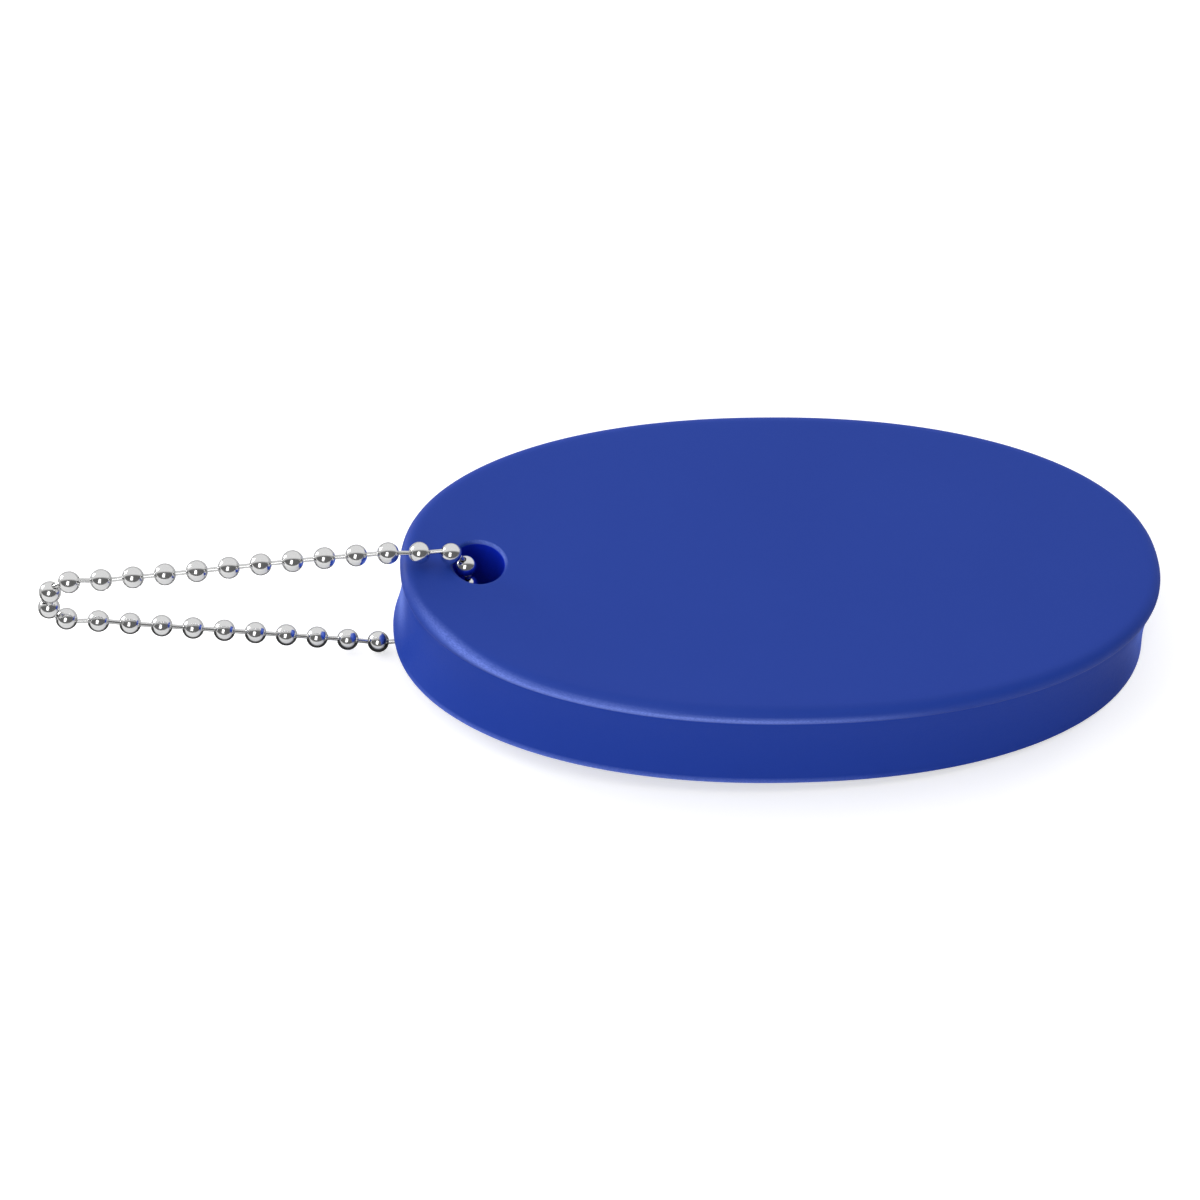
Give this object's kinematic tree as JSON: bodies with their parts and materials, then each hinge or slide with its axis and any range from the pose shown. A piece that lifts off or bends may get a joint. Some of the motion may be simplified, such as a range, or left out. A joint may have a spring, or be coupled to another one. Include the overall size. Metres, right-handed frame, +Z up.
{
  "type": "floating keychain",
  "caption": "Oval closed-cell foam float with a round hole near one end and a looped ball chain through it, joined by a coupling inside the hole.",
  "frame": {"origin": "centre of the whole object's footprint, on the surface that it rests on", "axes": "+X along the float from the chain to the plain end, +Z up as it rests"},
  "size_m": [0.1242, 0.0436, 0.0181],
  "materials": {
    "foam": "matte closed-cell foam",
    "bead_steel": "bright nickel plated",
    "link_wire": "bright drawn wire"
  },
  "bodies": {
    "float": {"float_body": "foam"},
    "chain_at_hole": {"chain_coupling": "bead_steel", "bead_01": "bead_steel", "bead_02": "bead_steel", "bead_03": "bead_steel", "bead_04": "bead_steel", "bead_05": "bead_steel", "bead_30": "bead_steel", "bead_31": "bead_steel", "bead_32": "bead_steel", "link_03": "link_wire", "link_04": "link_wire", "link_05": "link_wire"},
    "chain_column_01": {"bead_06": "bead_steel", "bead_29": "bead_steel", "link_06": "link_wire", "link_28": "link_wire"},
    "chain_column_02": {"bead_07": "bead_steel", "bead_28": "bead_steel", "link_07": "link_wire", "link_27": "link_wire"},
    "chain_column_03": {"bead_08": "bead_steel", "bead_27": "bead_steel", "link_08": "link_wire", "link_26": "link_wire"},
    "chain_column_04": {"bead_09": "bead_steel", "bead_26": "bead_steel", "link_09": "link_wire", "link_25": "link_wire"},
    "chain_column_05": {"bead_10": "bead_steel", "bead_25": "bead_steel", "link_10": "link_wire", "link_24": "link_wire"},
    "chain_column_06": {"bead_11": "bead_steel", "bead_24": "bead_steel", "link_11": "link_wire", "link_23": "link_wire"},
    "chain_column_07": {"bead_12": "bead_steel", "bead_23": "bead_steel", "link_12": "link_wire", "link_22": "link_wire"},
    "chain_column_08": {"bead_13": "bead_steel", "bead_22": "bead_steel", "link_13": "link_wire", "link_21": "link_wire"},
    "chain_column_09": {"bead_14": "bead_steel", "bead_21": "bead_steel", "link_14": "link_wire", "link_20": "link_wire"},
    "chain_column_10": {"bead_15": "bead_steel", "bead_20": "bead_steel", "link_15": "link_wire", "link_19": "link_wire"},
    "chain_column_11": {"bead_16": "bead_steel", "bead_17": "bead_steel", "bead_18": "bead_steel", "bead_19": "bead_steel", "link_16": "link_wire", "link_17": "link_wire", "link_18": "link_wire"}
  },
  "joints": [
    {"name": "chain_swing", "type": "hinge", "parent": "float", "child": "chain_at_hole", "pos_m": [-0.01455, 0, 0.00872], "axis": [0.0343, 0, 0.9994], "range_deg": [-60, 60]},
    {"name": "bend_01", "type": "hinge", "parent": "chain_at_hole", "child": "chain_column_01", "pos_m": [-0.02366, 0, 0.00915], "axis": [-0.0695, 0, -0.9976], "range_deg": [-25, 25]},
    {"name": "bend_02", "type": "hinge", "parent": "chain_column_01", "child": "chain_column_02", "pos_m": [-0.02707, 0, 0.00936], "axis": [0.0714, 0, 0.9974], "range_deg": [-25, 25]},
    {"name": "bend_03", "type": "hinge", "parent": "chain_column_02", "child": "chain_column_03", "pos_m": [-0.03048, 0, 0.00956], "axis": [-0.0735, 0, -0.9973], "range_deg": [-25, 25]},
    {"name": "bend_04", "type": "hinge", "parent": "chain_column_03", "child": "chain_column_04", "pos_m": [-0.03388, 0, 0.00973], "axis": [0.0762, 0, 0.9971], "range_deg": [-25, 25]},
    {"name": "bend_05", "type": "hinge", "parent": "chain_column_04", "child": "chain_column_05", "pos_m": [-0.03729, 0, 0.00987], "axis": [-0.0794, 0, -0.9968], "range_deg": [-25, 25]},
    {"name": "bend_06", "type": "hinge", "parent": "chain_column_05", "child": "chain_column_06", "pos_m": [-0.0407, 0, 0.01], "axis": [0.0834, 0, 0.9965], "range_deg": [-25, 25]},
    {"name": "bend_07", "type": "hinge", "parent": "chain_column_06", "child": "chain_column_07", "pos_m": [-0.04411, 0, 0.01013], "axis": [-0.0882, 0, -0.9961], "range_deg": [-25, 25]},
    {"name": "bend_08", "type": "hinge", "parent": "chain_column_07", "child": "chain_column_08", "pos_m": [-0.04751, 0, 0.01027], "axis": [0.0941, 0, 0.9956], "range_deg": [-25, 25]},
    {"name": "bend_09", "type": "hinge", "parent": "chain_column_08", "child": "chain_column_09", "pos_m": [-0.05092, 0, 0.01042], "axis": [-0.1012, 0, -0.9949], "range_deg": [-25, 25]},
    {"name": "bend_10", "type": "hinge", "parent": "chain_column_09", "child": "chain_column_10", "pos_m": [-0.05432, 0, 0.0106], "axis": [0.1096, 0, 0.994], "range_deg": [-25, 25]},
    {"name": "bend_11", "type": "hinge", "parent": "chain_column_10", "child": "chain_column_11", "pos_m": [-0.05782, 0, 0.0108], "axis": [-0.1178, 0, -0.993], "range_deg": [-25, 25]}
  ]
}
